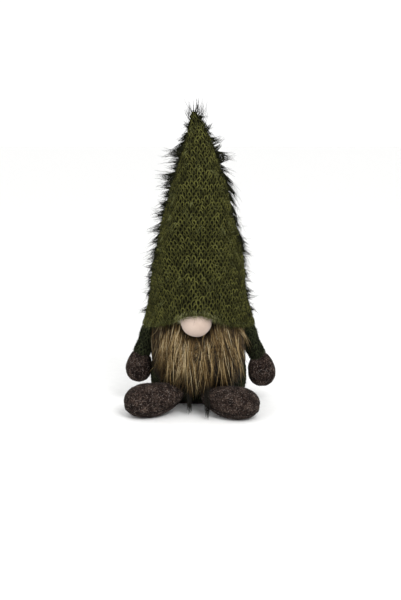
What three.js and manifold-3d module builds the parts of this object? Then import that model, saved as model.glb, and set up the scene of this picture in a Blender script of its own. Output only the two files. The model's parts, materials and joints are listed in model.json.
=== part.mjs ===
// Tomte figurine: a stuffed gnome with a tall knitted hat, a fur beard, mittens and felt feet.
// Millimetres, +Z up, the floor at z = 0, the figurine faces -Y. Left and right are its own.
import * as THREE from "three";
import { mergeVertices } from "three/addons/utils/BufferGeometryUtils.js";
import Module from "manifold-3d";

const wasm = await Module();
wasm.setup();

const GAP = 0.5; // between pieces that touch
const AROUND = 24; // sides of a turned shape
const AROUND_INSIDE = 16;

// Hat: [radius, height] of the outside of the knit
const HAT = [
  [75, 98], [73.5, 108], [70, 127], [66, 144], [63, 163], [61.5, 185], [58.5, 210],
  [52, 238], [44.5, 266], [36.8, 294], [27.8, 324], [21.5, 346], [14, 368], [5, 386], [0, 394],
];
const HAT_SKIN = 2.4;
const HAT_TIP_LEAN = -6; // the tip leans over to the right
const LEAN_FROM = 340;
const HAT_SLACK_TOP = 210; // the front and back shapes fade out below this height
const HEM = 108; // height of the hem at the sides and the back
const HEM_ARCH = [[-90, 90], [-73.5, 108], [-58, 115.5], [-42, 121.5], [-26, 128], [-12, 132],
  [8, 132], [22, 128], [40, 120.5], [57, 114.5], [73.5, 108], [90, 90]];
const HAT_FRONT = 1.03;
const HAT_BACK = 0.88; // the hat lies closer to the back than to the sleeves
const BEND_HEIGHT = 262; // the upper wad turns about this point
const BEND_BALL = 45;
const BEND_CUT = 8; // the upper wad starts this far above the point
const BEND_GAP = 0.8;
const BODY_TOP = 213;
const WAD_TOP = 384;

// Nose: a stuffed ball, flat where it lies on the body
const NOSE = new THREE.Vector3(-3, -62, 124);
const NOSE_RADIUS = 20.7;
const NOSE_SKIN = 1.0;
const NOSE_BACK = -59.2;
const NOSE_MOUTH = 7; // the gathered opening of the cover at its back
const NOSE_BULGE = new THREE.Vector3(31, 28, 24); // how the hat goes over the nose
const BULGE_CENTRE = new THREE.Vector3(-3, -58, 132);

// Body: [radius, height] of the outside of the sack
const BODY = [
  [50, 3.2], [58, 8], [63, 16], [65.5, 30], [65.5, 48], [63, 66], [58.5, 86], [54.5, 103],
  [55, 125], [56.5, 150], [54, 175], [47, 192], [34, 204], [9, 211],
];
const BODY_SKIN = 2;
const BODY_OPEN = 42; // radius of the opening that the base disc closes
const BODY_NECK = 9;
const FRONT_DRAWN_IN = 0.72; // the front of the sack rises off the floor towards the feet
const FRONT_RISE = [-12, 52];
const FILL_FROM = 50.6;
const FILL_GAP = 1.4; // round sides with fewer corners need more room
const FILL_TOP = 208;

const BASE_RADIUS = 48;
const BASE_THICK = 2.7;
const CARD_RADIUS = 44;
const CARD_THICK = 2;
const CARD_FLARE = 2;

// Ballast bag inside the sack: [radius, height] of its outside
const BALLAST = [[30, 8.6], [50, 10], [57, 17], [59.5, 28], [58, 38], [48, 46], [25, 49], [9, 50]];
const BAG_SKIN = 1.2;
const BAG_NECK = 9;
const PELLET_GAP = 1.7;

// Beard: the outline seen from the front, and [radius, height] of the front of the pile
const BEARD_OUTLINE = [[-50, 125], [-56.8, 114], [-56.8, 82], [-52, 66], [-42, 53], [-23, 48],
  [-19, 26], [-9, 20], [0, 26], [5, 48], [34, 54], [50, 66], [56.8, 82], [56.8, 112], [52, 124]];
const PILE_FRONT = [[63, 128], [67, 116], [75, 98], [80, 78], [81, 58], [78, 38], [74, 18]];
const BACKING_OUTLINE = [[-46, 127], [-54, 108], [-54, 90], [-44, 70], [-26, 58], [20, 58], [42, 70],
  [53, 88], [53, 108], [46, 127]];
const BACKING_THICK = 1.6;
const BEARD_BACK = -22; // the pile goes this far round the sides
const BACKING_BACK = -18;
const BEARD_FLOOR = 10;
const BEARD_DEEP = 130;

// Arms: [radius, height below the shoulder], with the last two measured up from the wrist
const SHOULDER_BALL = 5;
const SLEEVE_TOP = [[4, 3], [9, -2], [11.5, -10], [12, -20]];
const SLEEVE_END = [[11.2, 4], [10.6, 1]];
const SLEEVE_HOLLOW_TOP = [[0, 1], [7, -4], [9.6, -11], [10, -20]];
const SLEEVE_HOLLOW_END = [[9.3, 4], [8.9, 1]];
const SLEEVE_MOUTH = 9;
const SLEEVE_AROUND = 14;
const SLEEVE_DEPTH = 1.12; // depth of a sleeve against its width
const SLEEVE_FLAT = 60.2; // the sleeves lie flat against the sack from here out
const SLEEVE_SKIN = 2;
const SLEEVE_FILL = 9.2;
const SLEEVE_FILL_SHORT = 11; // the wadding stops short of both ends of the sleeve
const NECK_RADIUS = 20; // above the shoulder nothing is stuffed
const NECK_HIGH = 16;
const MITTEN_SKIN = 1.6;
const MITTEN_DEPTH = 0.7;
const MITTEN_OUT = 5;
const MITTEN_DROP = 0.5;
const SEAM_GAP = 0.25; // half the gap between two sewn halves

// Feet
const FOOT_SKIN = 1.8;
const FOOT_LENGTH = 38; // half sizes of a foot
const FOOT_WIDTH = 27;
const FOOT_HEIGHT = 20;
const FOOT_CENTRE = 17.5;
const FOOT_TOE = 0.2; // how much fuller the toe is than the heel
const FOOT_CLEAR = 1.5; // from the hinge to the heel
const FOOT_HINGE_HEIGHT = 26;
const FOOT_TAB_RADIUS = 2.5;
const FOOT_TAB_LENGTH = 20;

const SIDES = [
  {
    name: "left",
    shoulder: new THREE.Vector3(60.5, -2, 103),
    wrist: new THREE.Vector3(82, -4, 65),
    mittenWidth: 19,
    mittenHeight: 22,
    footBearing: 29, // where the foot leaves the body, from straight ahead
    footReach: 53.5,
    toeBearing: 60, // where the toe points
    heelRise: 4,
    sign: 1,
  },
  {
    name: "right",
    shoulder: new THREE.Vector3(-60.5, -2, 103),
    wrist: new THREE.Vector3(-78.5, -4, 69.5),
    mittenWidth: 18,
    mittenHeight: 21,
    footBearing: 41,
    footReach: 55.5,
    toeBearing: 66,
    heelRise: 9,
    sign: -1,
  },
];

// Larger than the whole piece, for cuts
const FAR = 200;

const knit = new THREE.MeshStandardMaterial({ color: 0x3a3a20, roughness: 0.95 });
const darkKnit = new THREE.MeshStandardMaterial({ color: 0x1f2017, roughness: 0.95 });
const felt = new THREE.MeshStandardMaterial({ color: 0x3c342f, roughness: 0.95 });
const fur = new THREE.MeshStandardMaterial({ color: 0x6a5a43, roughness: 0.9 });
const jersey = new THREE.MeshStandardMaterial({ color: 0xcebbac, roughness: 0.8 });
const wadding = new THREE.MeshStandardMaterial({ color: 0xe8e6e0, roughness: 1 });
const cotton = new THREE.MeshStandardMaterial({ color: 0xd8d2c4, roughness: 0.9 });
const pellets = new THREE.MeshStandardMaterial({ color: 0xbfc4c6, roughness: 0.5 });
const card = new THREE.MeshStandardMaterial({ color: 0xa08a68, roughness: 0.9 });

// A geometry as a manifold solid, and back.
function solid(geometry) {
  const bare = geometry.clone();
  bare.deleteAttribute("normal");
  bare.deleteAttribute("uv");
  const merged = mergeVertices(bare, 1e-3);
  return new wasm.Manifold(
    new wasm.Mesh({
      numProp: 3,
      vertProperties: new Float32Array(merged.attributes.position.array),
      triVerts: new Uint32Array(merged.index.array),
    }),
  );
}

function geometryOf(made) {
  const mesh = made.getMesh();
  const geometry = new THREE.BufferGeometry();
  geometry.setAttribute("position", new THREE.BufferAttribute(mesh.vertProperties, 3));
  geometry.setIndex(new THREE.BufferAttribute(mesh.triVerts, 1));
  geometry.computeVertexNormals();
  return geometry;
}

// A profile of [radius, height] turned about the upright axis.
function turned(profile, segments) {
  const points = profile.map(([radius, height]) => new THREE.Vector2(radius, height));
  return new THREE.LatheGeometry(points, segments).rotateX(Math.PI / 2);
}

// The profile closed on the axis at both ends.
function capped(profile) {
  const [first, last] = [profile[0], profile[profile.length - 1]];
  const closed = [...profile];
  if (first[0] > 0) closed.unshift([0, first[1]]);
  if (last[0] > 0) closed.push([0, last[1]]);
  return closed;
}

// The profile moved in by an amount, and down at its top end.
function inset(profile, amount) {
  return profile.map(([radius, height]) => [Math.max(radius - amount, 0), height]);
}

// Moves every corner of a geometry by a rule.
function reshape(geometry, rule) {
  const positions = geometry.attributes.position;
  const corner = new THREE.Vector3();
  for (let i = 0; i < positions.count; i += 1) {
    corner.fromBufferAttribute(positions, i);
    rule(corner);
    positions.setXYZ(i, corner.x, corner.y, corner.z);
  }
  return geometry;
}

function hatShape(corner) {
  const low = 1 - THREE.MathUtils.smoothstep(corner.z, HEM, HAT_SLACK_TOP);
  const scale = corner.y < 0 ? HAT_FRONT : HAT_BACK;
  corner.y *= 1 + (scale - 1) * low;
  const lean = THREE.MathUtils.clamp((corner.z - LEAN_FROM) / (HAT[HAT.length - 1][1] - LEAN_FROM), 0, 1);
  corner.x += HAT_TIP_LEAN * lean ** 2;
}

function bodyShape(corner) {
  if (corner.y > 0) return;
  const low = 1 - THREE.MathUtils.smoothstep(corner.z, ...FRONT_RISE);
  corner.y *= 1 - FRONT_DRAWN_IN * low;
}

function ball(radius, centre, segments = 16) {
  const sphere = new THREE.SphereGeometry(radius, segments, Math.round(segments / 2));
  return solid(sphere.translate(centre.x, centre.y, centre.z));
}

function ellipsoid(radii, centre, segments = 20) {
  const sphere = new THREE.SphereGeometry(1, segments, Math.round(segments / 2));
  sphere.scale(radii.x, radii.y, radii.z);
  return solid(sphere.translate(centre.x, centre.y, centre.z));
}

// A block between two corners.
function block(low, high) {
  const size = [0, 1, 2].map((i) => high[i] - low[i]);
  const box = new THREE.BoxGeometry(...size);
  return solid(box.translate(...[0, 1, 2].map((i) => (high[i] + low[i]) / 2)));
}

// An outline in x and z, drawn out from the middle towards the front.
function outlineBlock(outline) {
  const shape = new THREE.Shape(outline.map(([x, z]) => new THREE.Vector2(x, z)));
  const drawn = new THREE.ExtrudeGeometry(shape, { depth: BEARD_DEEP, bevelEnabled: false });
  return solid(drawn.rotateX(Math.PI / 2));
}

function asMesh(name, made, material) {
  const mesh = new THREE.Mesh(geometryOf(made), material);
  mesh.name = name;
  return mesh;
}

// ---- hat ----
const hatGroup = new THREE.Group();
hatGroup.name = "hat";

function bulge(thinner) {
  const radii = NOSE_BULGE.clone().subScalar(thinner);
  return ellipsoid(radii, BULGE_CENTRE);
}

const hatOutside = solid(reshape(turned(capped(HAT), AROUND), hatShape)).add(bulge(0));
const hatInner = inset(HAT, HAT_SKIN).slice(0, -2);
hatInner.push([0, HAT[HAT.length - 2][1]]);
const hatHollow = solid(reshape(turned(capped(hatInner), AROUND), hatShape)).add(bulge(HAT_SKIN));
const hatRoom = block([-FAR, -FAR, 0], [FAR, FAR, HEM]).add(outlineBlock(HEM_ARCH));
const hatShell = hatOutside.subtract(hatHollow).subtract(hatRoom);
hatGroup.add(asMesh("hat_shell", hatShell, knit));

const wadProfile = inset(HAT, HAT_SKIN + GAP).filter(([, height]) => height > 150 && height < 380);
wadProfile.push([0, WAD_TOP]);
const wad = solid(reshape(turned(capped(wadProfile), AROUND_INSIDE), hatShape));
const bendPoint = new THREE.Vector3(0, 0, BEND_HEIGHT);
const belowBend = block([-FAR, -FAR, BODY_TOP + GAP], [FAR, FAR, BEND_HEIGHT]);
const lowerWad = wad.intersect(belowBend.add(ball(BEND_BALL, bendPoint, AROUND)))
  .intersect(block([-FAR, -FAR, BODY_TOP + GAP], [FAR, FAR, 2 * FAR]));
hatGroup.add(asMesh("hat_wad_lower", lowerWad, wadding));
const aboveBend = block([-FAR, -FAR, BEND_HEIGHT + BEND_CUT], [FAR, FAR, 2 * FAR]);
const upperWad = wad.intersect(aboveBend).subtract(ball(BEND_BALL + BEND_GAP, bendPoint, AROUND));
const tipGroup = new THREE.Group();
tipGroup.name = "hat_tip";
tipGroup.add(asMesh("hat_wad_tip", upperWad, wadding));
hatGroup.add(tipGroup);

// ---- body ----
const bodyGroup = new THREE.Group();
bodyGroup.name = "body";

const bodyInner = inset(BODY, BODY_SKIN);
bodyInner[0][1] += BODY_SKIN;
bodyInner[0][0] = BODY_OPEN;
bodyInner[bodyInner.length - 1] = [BODY_NECK, BODY[BODY.length - 1][1] - BODY_SKIN];
const openEdge = [BODY_OPEN, BODY[0][1]];
const shellProfile = [openEdge, ...BODY, ...bodyInner.reverse(), openEdge];
const bodyShell = solid(reshape(turned(shellProfile, AROUND), bodyShape));
bodyGroup.add(asMesh("body_shell", bodyShell, darkKnit));

const baseProfile = [[BASE_RADIUS, 0], [BASE_RADIUS, BASE_THICK]];
const baseDisc = solid(reshape(turned(capped(baseProfile), AROUND), bodyShape));
bodyGroup.add(asMesh("base_disc", baseDisc, felt));
const cardLow = BODY[0][1] + BODY_SKIN + GAP;
const cardProfile = [[CARD_RADIUS, cardLow], [CARD_RADIUS + CARD_FLARE, cardLow + CARD_THICK]];
const baseCard = solid(reshape(turned(capped(cardProfile), AROUND), bodyShape));
bodyGroup.add(asMesh("base_card", baseCard, card));

const bagInner = inset(BALLAST, BAG_SKIN);
bagInner[0][1] += BAG_SKIN;
bagInner[1][1] += BAG_SKIN;
bagInner[bagInner.length - 2][1] -= BAG_SKIN;
bagInner[bagInner.length - 1] = [BAG_NECK, BALLAST[BALLAST.length - 1][1] - BAG_SKIN];
const bagFloor = BALLAST[0][1];
const bagProfile = [[0, bagFloor], ...BALLAST, ...[...bagInner].reverse(), [0, bagFloor + BAG_SKIN]];
const bag = solid(reshape(turned(bagProfile, AROUND_INSIDE), bodyShape));
bodyGroup.add(asMesh("ballast_bag", bag, cotton));
const pelletProfile = bagInner.slice(0, -1).map(([radius, height], i) => {
  const lift = i < 2 ? GAP : i > 3 ? -GAP : 0;
  return [radius - PELLET_GAP, height + lift];
});
const ballast = solid(reshape(turned(capped(pelletProfile), AROUND_INSIDE), bodyShape));
bodyGroup.add(asMesh("ballast_pellets", ballast, pellets));

const fillProfile = inset(BODY, BODY_SKIN + FILL_GAP).filter(([, height]) => height > FILL_FROM - GAP);
fillProfile.unshift([BODY[4][0] - BODY_SKIN - FILL_GAP, FILL_FROM]);
fillProfile[fillProfile.length - 1] = [BODY_NECK - BODY_SKIN - GAP, FILL_TOP];
const bodyFill = solid(reshape(turned(capped(fillProfile), AROUND_INSIDE), bodyShape));
bodyGroup.add(asMesh("body_wad", bodyFill, wadding));

// ---- nose ----
const noseGroup = new THREE.Group();
noseGroup.name = "nose";
const inFront = (y) => block([-FAR, -FAR, -FAR], [FAR, y, FAR]);
const noseRound = ball(NOSE_RADIUS, NOSE, 18).intersect(inFront(NOSE_BACK));
const noseHollow = ball(NOSE_RADIUS - NOSE_SKIN, NOSE, 18).intersect(inFront(NOSE_BACK - NOSE_SKIN));
const mouth = new THREE.CylinderGeometry(NOSE_MOUTH, NOSE_MOUTH, 6 * NOSE_SKIN, 16);
const noseMouth = solid(mouth.translate(NOSE.x, NOSE_BACK, NOSE.z));
const noseCover = noseRound.subtract(noseHollow).subtract(noseMouth);
noseGroup.add(asMesh("nose_cover", noseCover, jersey));
const noseCore = ball(NOSE_RADIUS - NOSE_SKIN - GAP, NOSE, 14)
  .intersect(inFront(NOSE_BACK - NOSE_SKIN - GAP));
noseGroup.add(asMesh("nose_wad", noseCore, wadding));

// ---- beard ----
const beardGroup = new THREE.Group();
beardGroup.name = "beard";

// The sack's outside, moved out by an amount.
function sack(out) {
  return solid(reshape(turned(capped(inset(BODY, -out)), AROUND), bodyShape));
}

const backing = sack(GAP + BACKING_THICK).subtract(sack(GAP))
  .intersect(outlineBlock(BACKING_OUTLINE))
  .intersect(inFront(BACKING_BACK));
beardGroup.add(asMesh("beard_backing", backing, cotton));

const pile = solid(turned(capped(PILE_FRONT.slice().reverse()), AROUND))
  .subtract(sack(2 * GAP + BACKING_THICK))
  .intersect(outlineBlock(BEARD_OUTLINE))
  .intersect(block([-FAR, -FAR, BEARD_FLOOR], [FAR, BEARD_BACK, FAR]))
  .subtract(ball(NOSE_RADIUS + GAP, NOSE, 20));
beardGroup.add(asMesh("beard_pile", pile, fur));

// ---- arms ----
function armOf(side) {
  const arm = new THREE.Group();
  arm.name = side.name + "_arm";
  const along = new THREE.Vector3().subVectors(side.wrist, side.shoulder);
  const length = along.length();
  const fromWrist = ([radius, height]) => [radius, height - length];
  const profile = [...SLEEVE_TOP, ...SLEEVE_END.map(fromWrist)];
  const inner = [...SLEEVE_HOLLOW_TOP, ...SLEEVE_HOLLOW_END.map(fromWrist)];
  const place = new THREE.Matrix4().compose(
    side.shoulder,
    new THREE.Quaternion().setFromUnitVectors(new THREE.Vector3(0, 0, -1), along.clone().normalize()),
    new THREE.Vector3(1, 1, 1),
  );
  const placed = (made) => solid(made.scale(1, SLEEVE_DEPTH, 1).applyMatrix4(place));
  const rod = (radius, high, middle) => placed(
    new THREE.CylinderGeometry(radius, radius, high, 16).rotateX(Math.PI / 2).translate(0, 0, middle));
  const beside = (x) => block([-x, -FAR, 0], [x, FAR, FAR]);
  const neck = rod(NECK_RADIUS, NECK_HIGH, NECK_HIGH / 2);

  const outside = placed(turned([...capped(profile).reverse()], SLEEVE_AROUND));
  const hollow = placed(turned([...capped(inner).reverse()], SLEEVE_AROUND));
  const sleeve = outside
    .subtract(hollow)
    .subtract(rod(SLEEVE_MOUTH, 2 * SLEEVE_SKIN, 1 - length))
    .subtract(ball(SHOULDER_BALL + GAP, side.shoulder, 12))
    .subtract(sack(GAP))
    .subtract(neck)
    .subtract(beside(SLEEVE_FLAT));
  arm.add(asMesh(side.name + "_sleeve", sleeve, darkKnit));

  const fillInner = inner.map(([radius, height]) => [Math.max(radius - GAP, 0), height]);
  const fillLength = length - SLEEVE_FILL_SHORT;
  const sleeveFill = placed(turned([...capped(fillInner.slice(1, -1)).reverse()], SLEEVE_AROUND))
    .subtract(ball(SHOULDER_BALL + 2 * GAP, side.shoulder, 16))
    .subtract(neck)
    .subtract(beside(SLEEVE_FLAT + SLEEVE_SKIN))
    .intersect(rod(SLEEVE_FILL, fillLength, -(fillLength + SLEEVE_FILL_SHORT - 1) / 2));
  arm.add(asMesh(side.name + "_sleeve_wad", sleeveFill, wadding));

  // The mitten hangs straight down from the wrist.
  const hand = new THREE.Group();
  hand.name = side.name + "_hand";
  const [w, h] = [side.mittenWidth, side.mittenHeight];
  const centre = side.wrist.clone().add(new THREE.Vector3(MITTEN_OUT * side.sign, -1, -h - MITTEN_DROP));
  const mitten = (thinner) => ellipsoid(
    new THREE.Vector3(w - thinner, w * MITTEN_DEPTH - thinner, h - thinner), centre, 14);
  const palmSide = block([-FAR, centre.y + SEAM_GAP, 0], [FAR, FAR, FAR]);
  const frontSide = block([-FAR, -FAR, 0], [FAR, centre.y - SEAM_GAP, FAR]);
  const shell = mitten(0).subtract(mitten(MITTEN_SKIN));
  hand.add(asMesh(side.name + "_mitten_front", shell.intersect(frontSide), felt));
  hand.add(asMesh(side.name + "_mitten_back", shell.intersect(palmSide), felt));
  hand.add(asMesh(side.name + "_mitten_wad", mitten(MITTEN_SKIN + GAP), wadding));
  arm.add(hand);

  const shoulder = new THREE.Group();
  shoulder.name = side.name + "_shoulder";
  const knot = ball(SHOULDER_BALL, side.shoulder, 10).subtract(sack(GAP));
  shoulder.add(asMesh(side.name + "_shoulder_stitching", knot, darkKnit));
  shoulder.add(arm);
  return shoulder;
}

// ---- feet ----
function footOf(side) {
  const foot = new THREE.Group();
  foot.name = side.name + "_foot";
  const bearing = THREE.MathUtils.degToRad(side.footBearing);
  const toe = THREE.MathUtils.degToRad(side.toeBearing);
  const outward = new THREE.Vector3(Math.sin(bearing) * side.sign, -Math.cos(bearing), 0);
  const hinge = outward.clone().multiplyScalar(side.footReach).setZ(FOOT_HINGE_HEIGHT);
  const turnBetween = toe - bearing;
  const reach = Math.hypot(FOOT_LENGTH * Math.cos(turnBetween), FOOT_WIDTH * Math.sin(turnBetween));
  const centre = outward.clone().multiplyScalar(side.footReach + reach + FOOT_CLEAR).setZ(FOOT_CENTRE);
  // The pad lies along X with its toe at +X. It is fuller at the toe, and its heel is drawn up.
  const pad = (thinner) => {
    const sphere = new THREE.SphereGeometry(1, 18, 10).rotateX(Math.PI / 2);
    sphere.scale(FOOT_LENGTH - thinner, FOOT_WIDTH - thinner, FOOT_HEIGHT - thinner);
    reshape(sphere, (corner) => {
      const fuller = 1 + FOOT_TOE * (corner.x / FOOT_LENGTH);
      corner.y *= fuller;
      corner.z *= 1 + (fuller - 1) / 2;
    });
    return solid(sphere);
  };
  const placed = (made) => {
    const warped = made.warp((corner) => {
      corner[2] += side.heelRise * Math.max(-corner[0] / FOOT_LENGTH, 0) ** 2;
    });
    const turnDegrees = THREE.MathUtils.radToDeg(toe * side.sign) - 90;
    return warped.rotate([0, 0, turnDegrees]).translate([centre.x, centre.y, centre.z]);
  };
  const roll = (radius, length) => {
    const cylinder = new THREE.CylinderGeometry(radius, radius, length, 14);
    cylinder.rotateZ(Math.atan2(outward.y, outward.x) + Math.PI);
    return solid(cylinder.translate(hinge.x, hinge.y, hinge.z));
  };
  const shell = pad(0).subtract(pad(FOOT_SKIN));
  const above = block([-FAR, -FAR, SEAM_GAP], [FAR, FAR, FAR]);
  const below = block([-FAR, -FAR, -FAR], [FAR, FAR, -SEAM_GAP]);
  const overFloor = block([-FAR, -FAR, 0], [FAR, FAR, FAR]);
  const clearOfTab = (made, gap) => made.subtract(roll(FOOT_TAB_RADIUS + gap, FOOT_TAB_LENGTH + 2 * gap))
    .subtract(sack(gap));
  const upper = clearOfTab(placed(shell.intersect(above)), GAP);
  foot.add(asMesh(side.name + "_foot_upper", upper.intersect(overFloor), felt));
  const sole = clearOfTab(placed(shell.intersect(below)), GAP);
  foot.add(asMesh(side.name + "_foot_sole", sole.intersect(overFloor), felt));
  const filling = clearOfTab(placed(pad(FOOT_SKIN + GAP)), 3 * GAP);
  const overSole = block([-FAR, -FAR, GAP], [FAR, FAR, FAR]);
  foot.add(asMesh(side.name + "_foot_wad", filling.intersect(overSole), wadding));

  const tab = roll(FOOT_TAB_RADIUS, FOOT_TAB_LENGTH).subtract(sack(GAP));
  bodyGroup.add(asMesh(side.name + "_foot_stitching", tab, darkKnit));
  return foot;
}

const tomte = new THREE.Group();
tomte.name = "tomte";
tomte.add(hatGroup, bodyGroup, noseGroup, beardGroup);
for (const side of SIDES) {
  tomte.add(armOf(side), footOf(side));
}

export default tomte;
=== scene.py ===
import json
import math
import bpy
import numpy as np
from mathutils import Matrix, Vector


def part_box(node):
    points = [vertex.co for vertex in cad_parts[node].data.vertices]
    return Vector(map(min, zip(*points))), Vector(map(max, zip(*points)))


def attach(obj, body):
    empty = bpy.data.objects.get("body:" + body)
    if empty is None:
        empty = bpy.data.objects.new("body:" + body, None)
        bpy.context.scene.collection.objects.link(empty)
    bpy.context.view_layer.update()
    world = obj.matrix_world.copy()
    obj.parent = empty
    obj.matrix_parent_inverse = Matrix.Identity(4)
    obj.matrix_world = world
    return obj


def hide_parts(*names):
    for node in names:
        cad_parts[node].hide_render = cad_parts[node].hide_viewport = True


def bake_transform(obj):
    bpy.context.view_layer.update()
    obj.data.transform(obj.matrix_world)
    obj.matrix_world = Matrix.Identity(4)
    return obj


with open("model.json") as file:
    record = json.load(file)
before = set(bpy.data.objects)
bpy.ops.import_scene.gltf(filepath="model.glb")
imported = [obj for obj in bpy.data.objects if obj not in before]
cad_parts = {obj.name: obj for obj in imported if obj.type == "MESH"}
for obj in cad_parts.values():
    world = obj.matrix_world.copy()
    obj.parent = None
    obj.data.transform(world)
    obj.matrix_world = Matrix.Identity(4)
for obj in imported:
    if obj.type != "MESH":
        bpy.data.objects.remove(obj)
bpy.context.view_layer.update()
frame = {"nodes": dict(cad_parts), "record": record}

# ---- Camera and light ----
# The gnome sits on a pale table in front of a white wall, seen from a little above,
# with a large soft lamp high on the right, a weak one on the left and white walls all round.
MM = 0.001
CAMERA_PLACE = (0.0027, -1.6, 0.42)
LOOK_DOWN = 9.87
ROOM_LIGHT = 1.08
camera_data = bpy.data.cameras.new("camera")
camera_data.lens = 71.4
camera_data.sensor_width = 36
camera = bpy.data.objects.new("camera", camera_data)
bpy.context.scene.collection.objects.link(camera)
camera.location = CAMERA_PLACE
camera.rotation_euler = (math.radians(90 - LOOK_DOWN), 0, 0)
bpy.context.scene.camera = camera

world = bpy.data.worlds.new("white room")
world.use_nodes = True
walls = world.node_tree.nodes["Background"]
walls.inputs["Color"].default_value = (1, 1, 1, 1)
walls.inputs["Strength"].default_value = ROOM_LIGHT
bpy.context.scene.world = world
bpy.context.scene.view_settings.view_transform = "Standard"


def soft_lamp(name, place, aim, size, power):
    light = bpy.data.lights.new(name, "AREA")
    light.size = size
    light.energy = power
    lamp = bpy.data.objects.new(name, light)
    lamp.location = place
    lamp.rotation_euler = (Vector(aim) - Vector(place)).to_track_quat("-Z", "Y").to_euler()
    bpy.context.scene.collection.objects.link(lamp)


soft_lamp("key lamp", (0.6, -1.3, 1.3), (0, 0, 0.2), 0.7, 17)
soft_lamp("fill lamp", (-0.9, -1.2, 0.6), (0, 0, 0.2), 0.9, 3)


# Colours are sRGB hex values, which this turns to linear.
def colour(hex_value):
    parts = [int(hex_value[i:i + 2], 16) / 255 for i in (1, 3, 5)]
    return (*[p / 12.92 if p <= 0.04045 else ((p + 0.055) / 1.055) ** 2.4 for p in parts], 1)


# Adds a node to a material: its settings by name, and for each input a value or a socket to link.
def add(tree, kind, inputs=None, **settings):
    made = tree.nodes.new(kind)
    for key, value in settings.items():
        setattr(made, key, value)
    for key, value in (inputs or {}).items():
        if isinstance(value, bpy.types.NodeSocket):
            tree.links.new(value, made.inputs[key])
        else:
            made.inputs[key].default_value = value
    return made


def new_material(name):
    material = bpy.data.materials.new(name)
    material.use_nodes = True
    material.node_tree.nodes.clear()
    return material, material.node_tree


def ramp(tree, factor, stops):
    made = add(tree, "ShaderNodeValToRGB", {"Fac": factor})
    line = made.color_ramp
    while len(line.elements) < len(stops):
        line.elements.new(0.5)
    for element, (place, tint) in zip(line.elements, stops):
        element.position = place
        element.color = colour(tint)
    return made.outputs["Color"]


def finish_material(tree, shader):
    add(tree, "ShaderNodeOutputMaterial", {"Surface": shader.outputs["BSDF"]})


# Painted wood: an even white with a faint mottle.
def table_top():
    material, tree = new_material("white painted table")
    place = add(tree, "ShaderNodeTexCoord").outputs["Object"]
    grain = add(tree, "ShaderNodeTexNoise", {"Vector": place, "Scale": 90.0, "Detail": 4.0})
    tint = ramp(tree, grain.outputs["Fac"], [(0.3, "#f3f3f2"), (0.7, "#f7f7f6")])
    finish_material(tree, add(tree, "ShaderNodeBsdfPrincipled", {"Base Color": tint, "Roughness": 0.7}))
    return material


bpy.ops.object.select_all(action="DESELECT")
bpy.ops.mesh.primitive_plane_add(size=12, location=(0, 2, -0.0002))
table = bpy.context.object
table.name = "table"
table.data.materials.append(table_top())


# ---- Hat cloth ----
# The hat is a tall cone of chunky brushed knit, sewn up the back and pulled down over the sack, the nose
# and the tops of the sleeves. This piece is the dense ground of the knit, behind the stitches.
# The profile gives radius by height, and the arch the hem's height across the front, in millimetres.
HAT_PROFILE = np.array([
    [98, 77.5], [108, 76], [120, 73.5], [131, 70.6], [144, 67.2], [163, 64], [190, 61.8], [210, 58.8],
    [238, 52.3], [266, 45], [284, 40.2], [302, 36], [316, 30.4], [328, 26.5], [346, 21.6], [362, 16.4],
    [376, 10.8], [386, 7.4], [392, 5], [396, 2.2], [398, 0.6],
])
HEM_ARCH = np.array([
    [-90, 111], [-73.5, 111], [-58, 115], [-42, 120.5], [-26, 128], [-17, 133.5], [-8, 136], [4, 136],
    [12, 132.5], [20, 128.5], [40, 119.5], [57, 114], [73.5, 111], [90, 111],
])
HEM_HEIGHT = 111
HAT_FRONT = 1.03
HAT_BACK = 0.88
HAT_TIP = 397.5
NOSE_BULGE = 15
TIP_LEAN = -6
NOSE_ANGLE = -0.04
rng = np.random.default_rng(7)


def smooth(value, low, high):
    t = np.clip((value - low) / (high - low), 0, 1)
    return t * t * (3 - 2 * t)


# Reads a table of places and values at any place.
def read(profile, at):
    return np.interp(at, profile[:, 0], profile[:, 1])


def hat_radius(height):
    spread = [read(HAT_PROFILE, height + step) for step in (-7, -3.5, 0, 3.5, 7)]
    tip = smooth(height, 360, 380)
    return np.mean(spread, axis=0) * (1 - tip) + spread[2] * tip


def hem_height(angle):
    arch = read(HEM_ARCH, 73.5 * np.sin(angle))
    return np.where(np.cos(angle) > 0, arch, HEM_HEIGHT)


# A point on the outside of the hat: angle from straight ahead towards its own left, height and how far out.
def hat_point(angle, height, out=0.0):
    angle, height, out = np.broadcast_arrays(angle, height, out)
    radius = hat_radius(height)
    over_nose = np.exp(-(((angle - NOSE_ANGLE) / 0.33) ** 2))
    over_nose = over_nose * np.exp(-((np.maximum(height - 134, 0) / 22) ** 2))
    low = 1 - smooth(height, HEM_HEIGHT, 210)
    # soft waves, and a slack fold that runs down over its right side
    wave = 0.7 * np.sin(3 * angle + height / 31) * np.sin(height / 23 + 1.1)
    wave = wave + 0.5 * np.sin(5 * angle - height / 17)
    fold_line = -0.95 + (height - 150) / 420
    beside = (angle - fold_line) / 0.16
    fold = 2.2 * np.exp(-(beside ** 2)) - 0.8 * np.exp(-((beside - 2) ** 2))
    fold = fold * smooth(height, 140, 185) * (1 - smooth(height, 260, 310))
    slack = smooth(398 - height, 6, 60)
    radius = radius + NOSE_BULGE * over_nose + (wave + fold + 0.5) * slack + out
    x = radius * np.sin(angle)
    y = -radius * np.cos(angle)
    y = y * (1 + (np.where(y < 0, HAT_FRONT, HAT_BACK) - 1) * low)
    lean = TIP_LEAN * (np.maximum(height - 340, 0) / 54) ** 2
    return np.stack([x + lean, y, height], axis=-1) * MM


def move_corners(piece, rule):
    corners = np.array([v.co for v in piece.data.vertices])
    piece.data.vertices.foreach_set("co", rule(corners).astype(np.float32).ravel())
    piece.data.update()


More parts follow.
